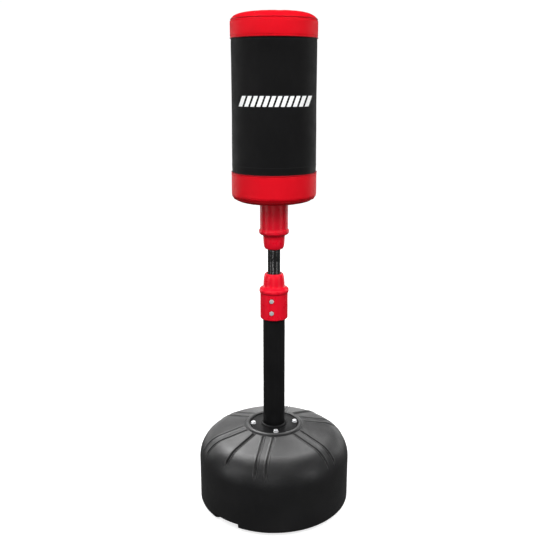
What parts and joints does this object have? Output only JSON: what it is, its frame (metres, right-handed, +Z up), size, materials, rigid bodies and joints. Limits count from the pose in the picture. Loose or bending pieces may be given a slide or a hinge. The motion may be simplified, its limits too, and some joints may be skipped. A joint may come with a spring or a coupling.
{
  "type": "punching bag on stand",
  "caption": "Free-standing punching bag: padded cylinder on a sprung neck, telescoping column and round ballast base with a screw-in fill cap.",
  "frame": {"origin": "on the floor, under the middle of the round base", "axes": "+Z up along the column and the bag, -Y towards the front, +X to the right seen from the front"},
  "size_m": [0.5, 0.5, 1.5736],
  "materials": {
    "base_plastic": "satin",
    "sand_fill": "matte",
    "seal_rubber": "matte",
    "boot_rubber": "satin",
    "black_steel": "gloss",
    "bush_nylon": "satin",
    "zinc_steel": "satin",
    "spring_steel": "satin",
    "red_plastic": "gloss",
    "bag_filling": "matte",
    "plywood": "matte",
    "black_cover": "satin",
    "red_cover": "satin"
  },
  "bodies": {
    "stand": {"base_shell": "base_plastic", "sand_ballast": "sand_fill", "flange_gasket": "seal_rubber", "base_flange": "black_steel", "column_spigot": "black_steel", "flange_washer_1": "zinc_steel", "flange_washer_2": "zinc_steel", "flange_washer_3": "zinc_steel", "flange_washer_4": "zinc_steel", "flange_bolt_1": "zinc_steel", "flange_bolt_2": "zinc_steel", "flange_bolt_3": "zinc_steel", "flange_bolt_4": "zinc_steel", "flange_nut_1": "zinc_steel", "flange_nut_2": "zinc_steel", "flange_nut_3": "zinc_steel", "flange_nut_4": "zinc_steel", "column_tube": "black_steel", "clamp_bush": "bush_nylon", "lower_collar": "red_plastic", "lower_collar_bolt_1": "zinc_steel", "lower_collar_bolt_2": "zinc_steel", "lower_collar_nut_1": "zinc_steel", "lower_collar_nut_2": "zinc_steel"},
    "fill_seal": {"fill_cap_seal": "seal_rubber"},
    "fill_cap": {"fill_cap": "base_plastic"},
    "pole": {"inner_pole": "black_steel", "foot_bush": "bush_nylon", "pole_foot_plug": "seal_rubber", "lower_spring_seat": "zinc_steel"},
    "neck": {"neck_spring": "spring_steel", "neck_boot": "boot_rubber"},
    "bag": {"bag_core_tube": "black_steel", "upper_spring_seat": "zinc_steel", "bag_bottom_plate": "plywood", "bag_foam": "bag_filling", "bag_top_plate": "plywood", "bag_cover": "black_cover", "bag_cap_bottom": "red_cover", "bag_cap_top": "red_cover", "upper_collar": "red_plastic", "upper_collar_bolt_1": "zinc_steel", "upper_collar_bolt_2": "zinc_steel", "upper_collar_nut_1": "zinc_steel", "upper_collar_nut_2": "zinc_steel"}
  },
  "joints": [
    {"name": "height_slide", "type": "slide", "parent": "stand", "child": "pole", "axis": [0, 0, 1], "range_m": [0, 0.25]},
    {"name": "lean_fore_aft", "type": "hinge", "parent": "pole", "child": "neck", "pos_m": [0, 0, 0.811], "axis": [1, 0, 0], "range_deg": [-20, 20], "stiffness_Nm_per_rad": 320, "deforming": ["neck_boot", "neck_spring"]},
    {"name": "lean_sideways", "type": "hinge", "parent": "neck", "child": "bag", "pos_m": [0, 0, 0.848], "axis": [0, 1, 0], "range_deg": [-20, 20], "stiffness_Nm_per_rad": 320},
    {"name": "fill_seal_lift", "type": "slide", "parent": "stand", "child": "fill_seal", "axis": [0, 0.2419, 0.9703], "range_m": [0, 0.008]},
    {"name": "fill_cap_turn", "type": "hinge", "parent": "fill_seal", "child": "fill_cap", "pos_m": [0, 0.15, 0.25573], "axis": [0, 0.2419, 0.9703], "range_deg": [0, 720]}
  ],
  "couplings": [
    {"joint": "fill_seal_lift", "follows": "fill_cap_turn", "m_per_rad": 0.000636}
  ]
}
